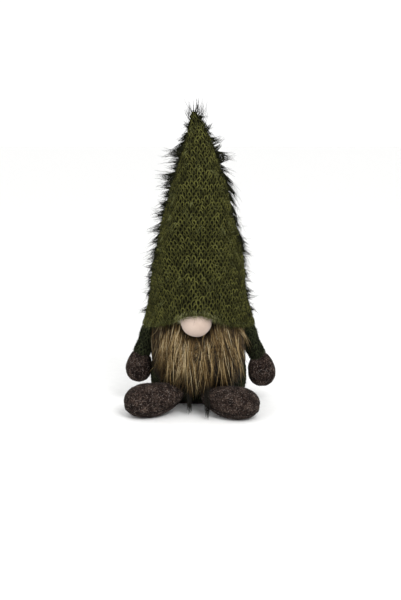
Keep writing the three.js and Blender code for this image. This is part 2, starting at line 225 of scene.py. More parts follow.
# A tube of cloth: an open cylinder cut into rings, whose corners are placed by angle and share of height.
def cloth_tube(name, around, rings, shape):
    bpy.ops.object.select_all(action="DESELECT")
    bpy.ops.mesh.primitive_cylinder_add(vertices=around, radius=1, depth=1, end_fill_type="NOTHING")
    piece = bpy.context.object
    piece.name = name
    bpy.ops.object.mode_set(mode="EDIT")
    bpy.ops.mesh.select_mode(type="EDGE")
    bpy.ops.mesh.select_all(action="DESELECT")
    bpy.ops.object.mode_set(mode="OBJECT")
    for edge in piece.data.edges:
        low, high = (piece.data.vertices[i].co.z for i in edge.vertices)
        edge.select = abs(high - low) > 0.5
    bpy.ops.object.mode_set(mode="EDIT")
    bpy.ops.mesh.subdivide(number_cuts=rings)
    bpy.ops.mesh.select_mode(type="VERT")
    bpy.ops.object.mode_set(mode="OBJECT")
    move_corners(piece, lambda p: shape(np.arctan2(p[:, 0], -p[:, 1]), np.clip(p[:, 2] + 0.5, 0, 1)))
    bpy.ops.object.mode_set(mode="EDIT")
    bpy.ops.mesh.select_all(action="SELECT")
    bpy.ops.mesh.normals_make_consistent(inside=False)
    bpy.ops.object.mode_set(mode="OBJECT")
    return piece


def apply_modifiers(piece):
    bpy.ops.object.select_all(action="DESELECT")
    piece.select_set(True)
    bpy.context.view_layer.objects.active = piece
    for modifier in list(piece.modifiers):
        bpy.ops.object.modifier_apply(modifier=modifier.name)


def shade_smooth(piece):
    piece.data.polygons.foreach_set("use_smooth", [True] * len(piece.data.polygons))


def give_wall(piece, thickness):
    wall = piece.modifiers.new("wall", "SOLIDIFY")
    wall.thickness = thickness
    wall.offset = -1
    apply_modifiers(piece)
    shade_smooth(piece)


# Gives a new piece its material, and the body it rides on where that is one.
def dress(piece, material, body=None):
    piece.data.materials.append(material)
    if body:
        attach(piece, body)


# Knitted ground: the dense felted back of a brushed yarn, dull, and coloured near black as painted shade so
# that it shows dark between the stitches.
def ground_cloth(name, deep, light):
    material, tree = new_material(name)
    place = add(tree, "ShaderNodeTexCoord").outputs["Object"]
    fibre = add(tree, "ShaderNodeTexNoise", {"Vector": place, "Scale": 700.0, "Detail": 6.0})
    tint = ramp(tree, fibre.outputs["Fac"], [(0.35, deep), (0.75, light)])
    bump = add(tree, "ShaderNodeBump", {"Height": fibre.outputs["Fac"], "Distance": 0.0008, "Strength": 0.8})
    finish_material(tree, add(tree, "ShaderNodeBsdfPrincipled", {
        "Base Color": tint, "Roughness": 1.0, "Specular IOR Level": 0.05, "Normal": bump.outputs["Normal"]}))
    return material


# Painted shade: the ground behind the hat's stitches is near black.
green_ground = ground_cloth("green knit ground darkened as painted shade", "#0a0a05", "#141409")


def hat_cloth_shape(angle, share):
    return hat_point(angle, hem_height(angle) * (1 - share) + HAT_TIP * share, -2.0)


hat_cloth = cloth_tube("hat_cloth", 144, 88, hat_cloth_shape)
give_wall(hat_cloth, 0.0006)
dress(hat_cloth, green_ground)
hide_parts("hat_shell")


# ---- Hat knit ----
# A close stitch in a thick brushed yarn: every loop stands over the gap between two loops of the row
# below, so the small dark gaps lie in a staggered pattern. The rows run out into the seam at the back.
STITCH_WIDTH = 6.3
STITCH_HEIGHT = 4.7
YARN = 1.02


# Tubes along many centre lines at once. centres and facing are (tubes, points, 3) and radii
# (tubes, points), in metres; each tube is closed at both ends and carries a tone from 0 to 1.
def tubes(name, centres, facing, radii, sides, tone):
    count, points = centres.shape[:2]
    along = np.gradient(centres, axis=1)
    along /= np.maximum(np.linalg.norm(along, axis=-1, keepdims=True), 1e-12)
    across = np.cross(along, facing)
    across /= np.maximum(np.linalg.norm(across, axis=-1, keepdims=True), 1e-12)
    out = np.cross(across, along)
    turn = np.arange(sides) * 2 * math.pi / sides
    ring = (np.cos(turn)[None, None, :, None] * out[:, :, None]
            + np.sin(turn)[None, None, :, None] * across[:, :, None])
    corners = centres[:, :, None] + radii[:, :, None, None] * ring
    index = np.arange(count * points * sides).reshape(count, points, sides)
    after = np.roll(index, -1, axis=2)
    quads = np.stack([index[:, :-1], index[:, 1:], after[:, 1:], after[:, :-1]], axis=-1).reshape(-1, 4)
    first = index[:, 0, :]
    last = index[:, -1, ::-1]
    caps = np.concatenate([first, last])
    mesh = bpy.data.meshes.new(name)
    mesh.vertices.add(count * points * sides)
    mesh.vertices.foreach_set("co", corners.astype(np.float32).ravel())
    mesh.loops.add(quads.size + caps.size)
    mesh.loops.foreach_set("vertex_index", np.concatenate([quads.ravel(), caps.ravel()]).astype(np.int32))
    mesh.polygons.add(len(quads) + len(caps))
    starts = np.concatenate([np.arange(len(quads)) * 4, quads.size + np.arange(len(caps)) * sides])
    mesh.polygons.foreach_set("loop_start", starts.astype(np.int32))
    mesh.polygons.foreach_set("use_smooth", np.ones(len(quads) + len(caps), dtype=bool))
    mesh.update(calc_edges=True)
    # painted_yarn_shade is painted shade round each tube: 1 on its outward side, 0 on its inner side.
    marks = {"tone": tone[:, None, None], "along": np.linspace(0, 1, points)[:, None],
             "painted_yarn_shade": 0.5 + 0.5 * np.cos(turn)}
    for key, value in marks.items():
        layer = mesh.attributes.new(key, "FLOAT", "POINT")
        value = np.broadcast_to(value, (count, points, sides))
        layer.data.foreach_set("value", value.astype(np.float32).ravel())
    made = bpy.data.objects.new(name, mesh)
    bpy.context.scene.collection.objects.link(made)
    return made


# The centre line of one knitted loop, for stitches at (across, up) in the cloth, in millimetres.
# Its head stands forward, and its two feet pass behind the heads of the row below.
LOOP = np.linspace(-2.5, 2.5, 11)


def stitch_lines(columns, rows, place, width=STITCH_WIDTH, height=STITCH_HEIGHT, depth=-1.6):
    centre = columns + 0.5 * (rows % 2)
    tilt = rng.normal(0, 0.28, (len(columns), 1))
    shift = rng.normal(0, 0.06 * width, (2, len(columns), 1))
    rise = 0.72 * height * np.cos(LOOP)[None]
    across = width * centre[:, None] + 0.36 * width * np.sin(LOOP)[None] + tilt * rise + shift[0]
    upward = height * rows[:, None] + rise + shift[1]
    out = depth + 0.75 * np.cos(LOOP)[None] + 0 * across
    return place(across, upward, out), place(across, upward, out + 6) - place(across, upward, out)


# Brushed yarn: soft matt wool and acrylic with loose fibre over it. Painted light and shade: each loop is
# lighter on its outward side, the crown, and darker in the grooves between loops.
def brushed_yarn(name, deep, middle, light):
    material, tree = new_material(name)
    place = add(tree, "ShaderNodeTexCoord").outputs["Object"]
    tone = add(tree, "ShaderNodeAttribute", attribute_name="tone").outputs["Fac"]
    painted_yarn_shade = add(tree, "ShaderNodeAttribute", attribute_name="painted_yarn_shade").outputs["Fac"]
    fibre = add(tree, "ShaderNodeTexNoise", {"Vector": place, "Scale": 1100.0, "Detail": 5.0})
    mixed = 0.0
    for part, share in ((fibre.outputs["Fac"], 0.5), (tone, 0.16), (painted_yarn_shade, 0.55)):
        mixed = add(tree, "ShaderNodeMath", {0: part, 1: share, 2: mixed}, operation="MULTIPLY_ADD")
        mixed = mixed.outputs["Value"]
    tint = ramp(tree, mixed, [(0.5, deep), (0.78, middle), (1.0, light)])
    bump = add(tree, "ShaderNodeBump", {"Height": fibre.outputs["Fac"], "Distance": 0.0006, "Strength": 0.9})
    finish_material(tree, add(tree, "ShaderNodeBsdfPrincipled", {
        "Base Color": tint, "Roughness": 0.95, "Specular IOR Level": 0.08, "Normal": bump.outputs["Normal"]}))
    return material


green_yarn = brushed_yarn("brushed green yarn", "#0d0d05", "#2e2e14", "#6b6b38")

hat_climb = np.linspace(HEM_HEIGHT - 6, HAT_TIP, 600)
hat_length = np.concatenate([[0], np.cumsum(np.hypot(np.diff(hat_climb), np.diff(hat_radius(hat_climb))))])


def hat_place(across, upward, out):
    height = np.interp(upward, hat_length, hat_climb)
    return hat_point(across / np.maximum(hat_radius(height), 1.5), height, out)


def hat_stitches():
    found = []
    for row in range(1, int(hat_length[-1] / STITCH_HEIGHT)):
        height = np.interp(row * STITCH_HEIGHT, hat_length, hat_climb)
        half = math.pi * hat_radius(height) / STITCH_WIDTH
        reach = int(half - 0.1)
        columns = np.arange(-reach, reach + 1 - row % 2)
        angles = columns * STITCH_WIDTH / hat_radius(height)
        kept = height > hem_height(angles) + 2
        found.append(np.stack([columns[kept], np.full(kept.sum(), row)], axis=1))
    return np.concatenate(found)


hat_grid = hat_stitches()
hat_knits = []
for part, low, high in (("lower", 0, 18), ("middle", 18, 34), ("upper", 34, 99)):
    chosen = hat_grid[(hat_grid[:, 1] >= low) & (hat_grid[:, 1] < high)]
    lines, facing = stitch_lines(chosen[:, 0], chosen[:, 1], hat_place)
    lines = lines + rng.normal(0, 0.00012, lines.shape)
    thick = np.full(lines.shape[:2], YARN * MM) * rng.uniform(0.88, 1.1, (len(lines), 1))
    knit = tubes(f"hat_knit_{part}", lines, facing, thick, 5, rng.uniform(0, 1, len(lines)))
    dress(knit, green_yarn)
    hat_knits.append(knit)


# ---- Hat hem and back seam ----
# The cut edge of the knit is overlocked: a thread of the same yarn wound round the edge in close loops.
# The same stitch closes the seam up the back.
def overlock(name, angles, heights, depth, radius, pitch, yarn):
    points = hat_point(angles, heights, depth)
    outward = hat_point(angles, heights, 8.0) - points
    outward /= np.linalg.norm(outward, axis=1, keepdims=True)
    steps = np.linalg.norm(np.diff(points, axis=0), axis=1)
    length = np.concatenate([[0], np.cumsum(steps)])
    turns = int(length[-1] / pitch)
    at = np.linspace(0, length[-1], turns * 8 + 1)
    centre = np.stack([np.interp(at, length, points[:, i]) for i in range(3)], axis=1)
    side = np.stack([np.interp(at, length, outward[:, i]) for i in range(3)], axis=1)
    along = np.gradient(centre, axis=0)
    along /= np.linalg.norm(along, axis=1, keepdims=True)
    across = np.cross(along, side)
    spin = at / pitch * 2 * math.pi
    line = centre + radius * (np.cos(spin)[:, None] * side + np.sin(spin)[:, None] * across)
    pieces = np.stack([line[i * 8:i * 8 + 9] for i in range(turns)])
    faces = np.stack([(line - centre)[i * 8:i * 8 + 9] for i in range(turns)])
    made = tubes(name, pieces, faces, np.full(pieces.shape[:2], yarn), 4, rng.uniform(0, 1, turns))
    dress(made, green_yarn)
    return made


hem_angles = np.linspace(-math.pi, math.pi, 181)
hat_hem = overlock("hat_hem", hem_angles, hem_height(hem_angles) + 0.4, -1.4, 0.0013, 0.0026, 0.0008)
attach(hat_hem, "body")
seam_heights = np.linspace(HEM_HEIGHT, HAT_TIP - 3, 90)
hat_seam = overlock("hat_seam", np.full(90, math.pi), seam_heights, -1.0, 0.0015, 0.003, 0.0009)


# ---- Hat fibres ----
# The yarn is an eyelash yarn: fine fibres up to two centimetres long stand out of it all over.
# Most are brushed down over the knit in swept streaks, and some stand out in dark tufts.
# Each material here is a soft acrylic fibre, matt, deeper at one end of its range of tones. A root share
# below nought darkens each fibre towards its tip, as painted shade.
def fine_fibre(name, deep, middle, light, root_share=0.0):
    material, tree = new_material(name)
    tone = add(tree, "ShaderNodeAttribute", attribute_name="tone").outputs["Fac"]
    along = add(tree, "ShaderNodeAttribute", attribute_name="along").outputs["Fac"]
    mixed = add(tree, "ShaderNodeMath", {0: along, 1: root_share, 2: tone}, operation="MULTIPLY_ADD")
    tint = ramp(tree, mixed.outputs["Value"], [(0.0, deep), (0.5, middle), (1.0, light)])
    finish_material(tree, add(tree, "ShaderNodeBsdfPrincipled", {
        "Base Color": tint, "Roughness": 0.8, "Specular IOR Level": 0.08}))
    return material


def unit(vectors):
    return vectors / np.maximum(np.linalg.norm(vectors, axis=-1, keepdims=True), 1e-9)


# Bowed fibres from a root through a bend to a tip, in metres.
def fibres(name, roots, bends, tips, thick, points, tone):
    share = np.linspace(0, 1, points)[None, :, None]
    lines = roots[:, None] * (1 - share) ** 2 + 2 * bends[:, None] * share * (1 - share)
    lines = lines + tips[:, None] * share ** 2
    facing = np.broadcast_to(unit(np.cross(bends - roots, tips - roots) + 1e-9)[:, None], lines.shape)
    widths = thick[:, None] * np.linspace(1, 0.2, points)[None]
    return tubes(name, lines, facing, widths, 3, tone)


# The bends and tips of short fibres that rise from their roots and lie over to one side.
def lying(roots, out, lie, length, lift, rise, reach):
    bends = roots + length * 0.5 * (out * lift * 1.5 + lie * 0.4)
    return bends, roots + length * (out * lift * rise + lie * reach)


def hat_frame(angle, height):
    here = hat_point(angle, height, -0.8)
    out = unit(hat_point(angle, height, 6.0) - here)
    side = unit(hat_point(angle + 0.02, height) - hat_point(angle - 0.02, height))
    return here, out, side, unit(np.cross(out, side))


def hat_spots(count, low, high):
    levels = np.linspace(low, high, 400)
    weight = hat_radius(levels)
    height = rng.choice(levels, count, p=weight / weight.sum()) + rng.uniform(-0.5, 0.5, count)
    angle = rng.uniform(-math.pi, math.pi, count)
    return angle, np.clip(np.maximum(height, hem_height(angle) + 1.5), low, high)


fuzz_green = fine_fibre("short green fuzz", "#111107", "#2b2c17", "#5a5c34")
streak_green = fine_fibre("long green fibre", "#1d1e0d", "#3f4021", "#74764b")
pale_green = fine_fibre("pale green fibre", "#3e4020", "#77794a", "#b5b284")
# Painted shade: the tufts and long hairs are darker than the other fibres, and darker again towards their
# tips.
tuft_green_painted_shade = fine_fibre("green tufts darkened as painted shade", "#060603", "#14150c", "#31321c", -0.6)


# Short fuzz that softens every stitch.
def hat_fuzz(name, count, low, high):
    angle, height = hat_spots(count, low, high)
    here, out, side, up = hat_frame(angle, height)
    way = rng.uniform(0, 2 * math.pi, (count, 1))
    lie = side * np.cos(way) + up * np.sin(way)
    length = rng.uniform(2.5, 6, (count, 1)) * MM
    lift = rng.uniform(0.25, 0.9, (count, 1))
    bends, tips = lying(here, out, lie, length, lift, 0.9, 0.9)
    thick = rng.uniform(0.07, 0.12, count) * MM
    return fibres(name, here, bends, tips, thick, 4, rng.uniform(0, 1, count))


# Long fibres brushed flat: they run down and away from the middle of the front, in bundles.
def hat_streaks(name, bundles, each, low, high):
    angle, height = hat_spots(bundles, low, high)
    sweep = 0.85 * np.sin(angle) + 0.55 * np.sin(height / 27 + 2.3 * angle) + rng.normal(0, 0.28, bundles)
    reach = rng.uniform(8, 19, bundles)
    tone = rng.uniform(0, 0.8, bundles)
    count = bundles * each
    angle, height, sweep, reach, tone = np.repeat([angle, height, sweep, reach, tone], each, axis=1)
    height = height + rng.normal(0, 3.2, count)
    radius = np.maximum(hat_radius(height), 4)
    angle = angle + rng.normal(0, 2.0, count) / radius
    sweep = sweep + rng.normal(0, 0.12, count)
    reach = reach * rng.uniform(0.6, 1.1, count)
    share = np.linspace(0, 1, 6)[None]
    bow = sweep[:, None] + rng.normal(0, 0.25, (count, 1)) * share
    path_angle = angle[:, None] + reach[:, None] * share * np.sin(bow) / radius[:, None]
    path_height = height[:, None] - reach[:, None] * share * np.cos(bow)
    path_height = np.maximum(path_height, hem_height(path_angle) - 3)
    path_height = np.minimum(path_height, HAT_TIP - 1)
    out = -0.6 + rng.uniform(0.8, 2.6, (count, 1)) * np.sin(share * 2.4)
    lines = hat_point(path_angle, path_height, out)
    facing = hat_point(path_angle, path_height, out + 5) - lines
    widths = rng.uniform(0.07, 0.14, (count, 1)) * MM * np.linspace(1, 0.4, 6)[None]
    return tubes(name, lines, facing, widths, 3, tone + rng.uniform(0, 0.2, count))


# No hair is brushed further back or stands higher than this, in metres.
HAIR_BACK = 0.0775
HAIR_TOP = 0.4145
# The larger tufts at both sides: an angle in degrees, a height, a length, a rise in degrees, a number of
# hairs and the size of the patch that they grow from.
SIDE_TUFTS = [
    [-88, 362, 15, -30, 26, 4], [-95, 352, 22, -28, 44, 4], [-90, 342, 22, -8, 110, 6],
    [-86, 333, 18, -12, 40, 5], [-92, 322, 13, 5, 60, 5], [-90, 309, 20, 4, 120, 6],
    [-86, 299, 18, -14, 90, 6], [-94, 287, 12, -10, 50, 5], [-90, 272, 13, -25, 46, 6],
    [-88, 258, 14, -18, 46, 6], [-92, 243, 15, -26, 46, 6], [-88, 226, 13, -30, 42, 6],
    [-90, 208, 13, -36, 40, 6], [-92, 190, 11, -40, 36, 6], [88, 388, 9, 10, 30, 2],
    [86, 372, 12, 45, 30, 3], [92, 356, 15, 20, 56, 5], [88, 346, 13, 30, 40, 4], [90, 338, 20, -6, 110, 6],
    [92, 330, 18, 15, 30, 4], [88, 322, 15, -25, 56, 5], [94, 310, 20, -46, 80, 6],
    [88, 298, 22, -50, 90, 6], [90, 284, 20, -56, 70, 6], [92, 268, 18, -60, 60, 6],
    [88, 252, 17, -62, 50, 6], [90, 234, 15, -60, 46, 6], [92, 216, 15, -60, 46, 6],
    [90, 199, 16, -50, 50, 6], [88, 180, 11, -55, 40, 5], [90, 152, 9, -40, 34, 5],
    [90, 130, 9, -20, 34, 4], [-90, 128, 9, -20, 34, 4], [-92, 150, 8, -40, 30, 5],
    [-90, 170, 9, -45, 30, 5], [-86, 376, 9, 30, 30, 3], [94, 380, 8, -20, 30, 3],
]


def hat_tufts(name, rows):
    rows = np.array(rows)
    each = rows[:, 4].astype(int)
    angle, height, reach, rise, _, patch = [np.repeat(rows[:, i], each) for i in range(6)]
    count = len(angle)
    angle = np.radians(angle)
    centre, out, side, _ = hat_frame(angle, height)
    pull = np.repeat(rng.normal(0, 0.25, len(rows)), each)[:, None]
    rise = np.radians(rise)[:, None]
    aim = unit(out * np.cos(rise) + np.array([0, 0, 1]) * np.sin(rise) + side * pull)
    spread = rng.uniform(-1, 1, (count, 2)) * patch[:, None] * 1.15
    root_angle = angle + spread[:, 0] / np.maximum(hat_radius(height), 5)
    roots = hat_point(root_angle, np.clip(height + spread[:, 1], 112, HAT_TIP - 2), -1.2)
    # most hairs run together into a point, and a few stand loose and reach further
    loose = rng.uniform(0, 1, (count, 1)) < 0.2
    share = np.where(loose, rng.uniform(0.7, 1.45, (count, 1)), rng.uniform(0.35, 0.95, (count, 1)))
    gather = np.where(loose, 0.35, 0.9) * np.minimum(share, 1)
    foot = centre * gather + roots * (1 - gather)
    length = reach[:, None] * share * MM
    tips = foot + aim * length + rng.normal(0, 0.06, (count, 3)) * length * np.where(loose, 2.2, 1)
    tips[:, 1] = np.minimum(tips[:, 1], HAIR_BACK)
    bends = roots + out * length * 0.3 + (foot - roots) * 0.45 + aim * length * 0.2
    thick = np.where(loose[:, 0], rng.uniform(0.26, 0.46, count), rng.uniform(0.24, 0.38, count)) * MM
    return fibres(name, roots, bends, tips, thick, 5, rng.uniform(0.35, 1.2, count))


def scattered_tufts(count, low_angle, high_angle, lengths, hairs):
    return [[rng.choice((-1, 1)) * rng.uniform(low_angle, high_angle), rng.uniform(125, 385),
             rng.uniform(*lengths), rng.uniform(-60, 20), hairs, 4] for _ in range(count)]


# The tufts at the sides spread a little towards the back.
side_tufts = [[np.sign(row[0]) * (abs(row[0]) + rng.uniform(0, 12)), *row[1:]] for row in SIDE_TUFTS]


# Single long hairs that stand off all round.
def hat_long_hairs(name, count):
    angle, height = hat_spots(count, 125, 388)
    here, out, side, up = hat_frame(angle, height)
    length = rng.uniform(9, 21, (count, 1)) * MM
    drop = rng.uniform(0.1, 1.5, (count, 1)) - 0.6 * smooth(height, 300, 380)[:, None]
    aim = unit(out - up * drop + side * rng.normal(0, 0.4, (count, 1)))
    tips = here + aim * length
    tips[:, 1] = np.minimum(tips[:, 1], HAIR_BACK)
    bends = here + out * length * 0.45 + (tips - here) * 0.2
    thick = rng.uniform(0.15, 0.3, count) * MM
    return fibres(name, here, bends, tips, thick, 5, rng.uniform(0.5, 1.4, count))


# Loose ends that hang over the hem.
def hem_fringe(name, count, spread):
    angle = rng.uniform(-spread, spread, count)
    level = hem_height(angle) + rng.uniform(0, 7, count)
    here, out, side, up = hat_frame(angle, level)
    length = rng.uniform(4, 9, (count, 1)) * MM
    sideways = side * rng.normal(0, 0.5, (count, 1))
    tips = here + length * (-up + sideways + out * rng.uniform(0, 0.5, (count, 1)))
    bends = here + out * length * 0.35 + (tips - here) * 0.4
    thick = rng.uniform(0.12, 0.2, count) * MM
    return fibres(name, here, bends, tips, thick, 4, rng.uniform(0.2, 1.0, count))


# The tuft that stands up out of the tip.
def tip_tuft(name, count):
    height = rng.uniform(376, 396, count)
    angle = rng.uniform(-math.pi, math.pi, count)
    roots = hat_point(angle, height, -1.0)
    out = unit(hat_point(angle, height, 6.0) - roots)
    length = rng.uniform(9, 25, (count, 1)) * MM
    aim = unit(np.array([-0.05, 0, 1.15]) + out * rng.uniform(0.1, 0.75, (count, 1)))
    tips = roots + aim * length
    tips[:, 2] = np.minimum(tips[:, 2], HAIR_TOP)
    bends = roots + out * length * 0.2 + (tips - roots) * 0.4
    thick = rng.uniform(0.3, 0.5, count) * MM
    return fibres(name, roots, bends, tips, thick, 5, rng.uniform(0.3, 1.0, count))


hat_fur = [
    (hat_fuzz("hat_fuzz_lower", 2200, 112, 200), fuzz_green),
    (hat_fuzz("hat_fuzz_upper", 2200, 200, 391), fuzz_green),
    (hat_streaks("hat_streaks_lower", 230, 5, 112, 215), streak_green),
    (hat_streaks("hat_streaks_upper", 170, 5, 215, 388), streak_green),
    (hat_tufts("hat_side_tufts", side_tufts), tuft_green_painted_shade),
    (hat_tufts("hat_back_tufts", scattered_tufts(230, 66, 180, (6, 15), 16)), tuft_green_painted_shade),
    (hat_tufts("hat_front_tufts", scattered_tufts(46, 0, 60, (4, 8), 9)), streak_green),
    (hat_long_hairs("hat_long_hairs", 480), tuft_green_painted_shade),
    (hem_fringe("hat_hem_fringe", 900, math.pi), streak_green),
    (hem_fringe("hat_brow_fringe", 170, 0.42), pale_green),
    (tip_tuft("hat_tip_tuft", 80), tuft_green_painted_shade),
]
for piece, material in hat_fur:
    dress(piece, material)
for piece in [hat_cloth, hat_seam, *hat_knits, *[piece for piece, _ in hat_fur]]:
    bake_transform(piece)


# ---- Body sack ----
# A round sack of the same knit in a darker green, stuffed firm and heavy in the base.
# It shows under the hat at the sides and the back, and below the beard.
BODY_PROFILE = np.array([
    [3, 49], [8, 58], [16, 63], [30, 65.5], [48, 65.5], [66, 63], [86, 58.5], [103, 54.5], [125, 55],
    [150, 56.5], [175, 54],
])


def body_point(angle, height, out=0.0):
    angle, height, out = np.broadcast_arrays(angle, height, out)
    spread = [read(BODY_PROFILE, height + step) for step in (-3, 0, 3)]
    dent = 0.7 * np.sin(4 * angle + height / 19)
    radius = np.mean(spread, axis=0) + out + dent - 0.7
    x = radius * np.sin(angle)
    y = -radius * np.cos(angle)
    # the front of the base rises off the floor towards the feet
    y = np.where(y < 0, y * (1 - 0.72 * (1 - smooth(height, -12, 52))), y)
    return np.stack([x, y, height], axis=-1) * MM


# Painted shade: the ground behind the sack's stitches is near black.
dark_ground = ground_cloth("dark green knit ground darkened as painted shade", "#0b0c07", "#191b10")


def body_cloth_shape(angle, share):
    return body_point(angle, 3.4 + share * 168.6, -1.6)


body_cloth = cloth_tube("body_cloth", 144, 58, body_cloth_shape)
give_wall(body_cloth, 0.0004)
dress(body_cloth, dark_ground, "body")
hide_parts("body_shell")

dark_yarn = brushed_yarn("brushed dark green yarn", "#060704", "#15170d", "#434830")
body_climb = np.linspace(2, 150, 400)
body_steps = np.hypot(np.diff(body_climb), np.diff(read(BODY_PROFILE, body_climb)))
body_length = np.concatenate([[0], np.cumsum(body_steps)])
BODY_GIRTH = 62


def body_place(across, upward, out):
    height = np.interp(upward, body_length, body_climb)
    return body_point(across / BODY_GIRTH, height, out)


body_rows = range(1, int(np.interp(128, body_climb, body_length) / STITCH_HEIGHT))
body_columns = np.arange(-31, 32)
body_grid = np.array([(column, row) for row in body_rows for column in body_columns])
body_width = 2 * math.pi * BODY_GIRTH / len(body_columns)
lines, facing = stitch_lines(body_grid[:, 0], body_grid[:, 1], body_place, width=body_width, depth=-1.2)
thick = np.full(lines.shape[:2], 1.15 * MM) * rng.uniform(0.88, 1.1, (len(lines), 1))
body_knit = tubes("body_knit", lines, facing, thick, 4, rng.uniform(0, 1, len(lines)))
dress(body_knit, dark_yarn, "body")

dark_fibre = fine_fibre("dark green eyelash fibre", "#080905", "#181b10", "#464b33")


# Eyelash fibres on the sack and the sleeves.
def surface_fuzz(name, place, count, angles, low, high, lengths, body):
    angle = rng.uniform(*angles, count)
    height = rng.uniform(low, high, count)
    roots = place(angle, height, -0.8)
    out = unit(place(angle, height, 6.0) - roots)
    lie = rng.normal(0, 1, (count, 3)) - np.array([0, 0, 0.5])
    lie = unit(lie - out * np.sum(lie * out, axis=1, keepdims=True))
    length = rng.uniform(*lengths, (count, 1)) * MM
    lift = rng.uniform(0.2, 0.8, (count, 1))
    bends, tips = lying(roots, out, lie, length, lift, 0.8, 0.9)
    tips[:, 2] = np.maximum(tips[:, 2], 0.0008)
    thick = rng.uniform(0.08, 0.14, count) * MM
    made = fibres(name, roots, bends, tips, thick, 4, rng.uniform(0, 1, count))
    dress(made, dark_fibre, body)


surface_fuzz("body_fibres", body_point, 4000, (-math.pi, math.pi), 6, 118, (3, 7), "body")


# ---- Nose ----
# A ball of smooth jersey stuffed tight with wadding, gathered at the back where it is sewn to the sack.
nose_low, nose_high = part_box("nose_cover")
nose_radius = (nose_high[0] - nose_low[0]) / 2 + 0.0003
nose_centre = Vector((
    (nose_low[0] + nose_high[0]) / 2, nose_low[1] + nose_radius, (nose_low[2] + nose_high[2]) / 2))
bpy.ops.object.select_all(action="DESELECT")
bpy.ops.mesh.primitive_uv_sphere_add(segments=48, ring_count=32, radius=nose_radius, location=nose_centre)
nose = bpy.context.object
nose.name = "nose"
bpy.ops.object.transform_apply(location=True, rotation=True, scale=True)
for corner in nose.data.vertices:
    off = corner.co - nose_centre
    angle = math.atan2(off.x, off.z)
    gather = smooth(off.y, -0.002, 0.006)
    corner.co += off.normalized() * (0.0006 * gather * math.sin(11 * angle))
    corner.co += off.normalized() * 0.0003 * math.sin(off.x * 210) * math.sin(off.z * 260 + 1)
    corner.co.y = min(corner.co.y, nose_high[1] + 0.0001)
soft = nose.modifiers.new("smooth", "SUBSURF")
soft.levels = 1
soft.render_levels = 1
apply_modifiers(nose)
shade_smooth(nose)


# Jersey: fine machine knit, ribs about 0.6 mm apart drawn at 0.9 mm so that they can be seen.
def jersey():
    material, tree = new_material("pale jersey")
    place = add(tree, "ShaderNodeTexCoord").outputs["Object"]
    ribs = add(tree, "ShaderNodeTexWave", {"Vector": place, "Scale": 350.0, "Distortion": 1.5, "Detail": 2.0},
               bands_direction="X")
    blush = add(tree, "ShaderNodeTexNoise", {"Vector": place, "Scale": 60.0, "Detail": 3.0})
    tint = ramp(tree, blush.outputs["Fac"], [(0.3, "#b39f92"), (0.7, "#bfac9f")])
    bump = add(tree, "ShaderNodeBump", {"Height": ribs.outputs["Fac"], "Distance": 0.00012, "Strength": 0.5})
    finish_material(tree, add(tree, "ShaderNodeBsdfPrincipled", {
        "Base Color": tint, "Roughness": 0.75, "Specular IOR Level": 0.3, "Sheen Weight": 0.2,
        "Normal": bump.outputs["Normal"]}))
    return material


dress(nose, jersey(), "body")
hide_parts("nose_cover")


# ---- Beard ----
# Long pile faux fur on a woven backing that is sewn to the front of the sack under the brim.
# The hair falls in loose pointed locks, dark at the root, sandy along its length and dark at the tip.
# The edge gives the height that the lowest locks reach across the front, in millimetres.
BEARD_TOP = 128
BEARD_MIDDLE = -3
BEARD_EDGE = np.array([
    [-70, 80], [-62, 56], [-56, 42], [-48, 37], [-38, 33], [-28, 28], [-18, 23], [-8, 20], [8, 19],
    [18, 23], [28, 28], [40, 31], [50, 34], [58, 44], [64, 62], [72, 86],
])


# Strands from arrays of root place, tip place and how far they stand off, all in millimetres.
def strands(name, draw, root_x, root_z, tip_x, tip_z, stand, thick, tone):
    count = len(root_x)
    s = np.linspace(0, 1, 8)[None]
    x = root_x[:, None] + (tip_x - root_x)[:, None] * (0.35 * s + 0.65 * s ** 1.7)
    x = x + draw.normal(0, 0.55, (count, 1)) * np.sin(s * 4 + draw.uniform(0, 6.3, (count, 1)))
    z = root_z[:, None] + (tip_z - root_z)[:, None] * s
    # the hair parts below the nose
    gap = np.exp(-((x + 3) / 8) ** 2) * np.exp(-((z - 86) / 15) ** 2)
    x = x + 4.0 * gap * np.sign(x + 3 + draw.normal(0, 1, (count, 1)))
    off = 1.5 + stand[:, None] * smooth(s, 0, 0.38)
    off = off + draw.normal(0, 0.7, (count, 1)) * s
    angle = np.arcsin(np.clip(x / 67, -0.985, 0.985))
    surface = body_point(angle, np.maximum(z, 58), off)
    lines = np.stack([x * MM, surface[..., 1], np.maximum(z, 1.2) * MM], axis=-1)
    # the hair lies round the nose
    away = lines - np.array(nose_centre)
    distance = np.linalg.norm(away, axis=-1, keepdims=True)
    inside = np.maximum(nose_radius + 0.0005 - distance, 0)
    lines = lines + away / np.maximum(distance, 1e-6) * inside
    facing = np.zeros_like(lines)
    facing[..., 0] = 1
    widths = thick[:, None] * MM * np.array([0.8, 1, 1, 1, 0.95, 0.8, 0.55, 0.18])[None]
    return tubes(name, lines, facing, widths, 3, tone)


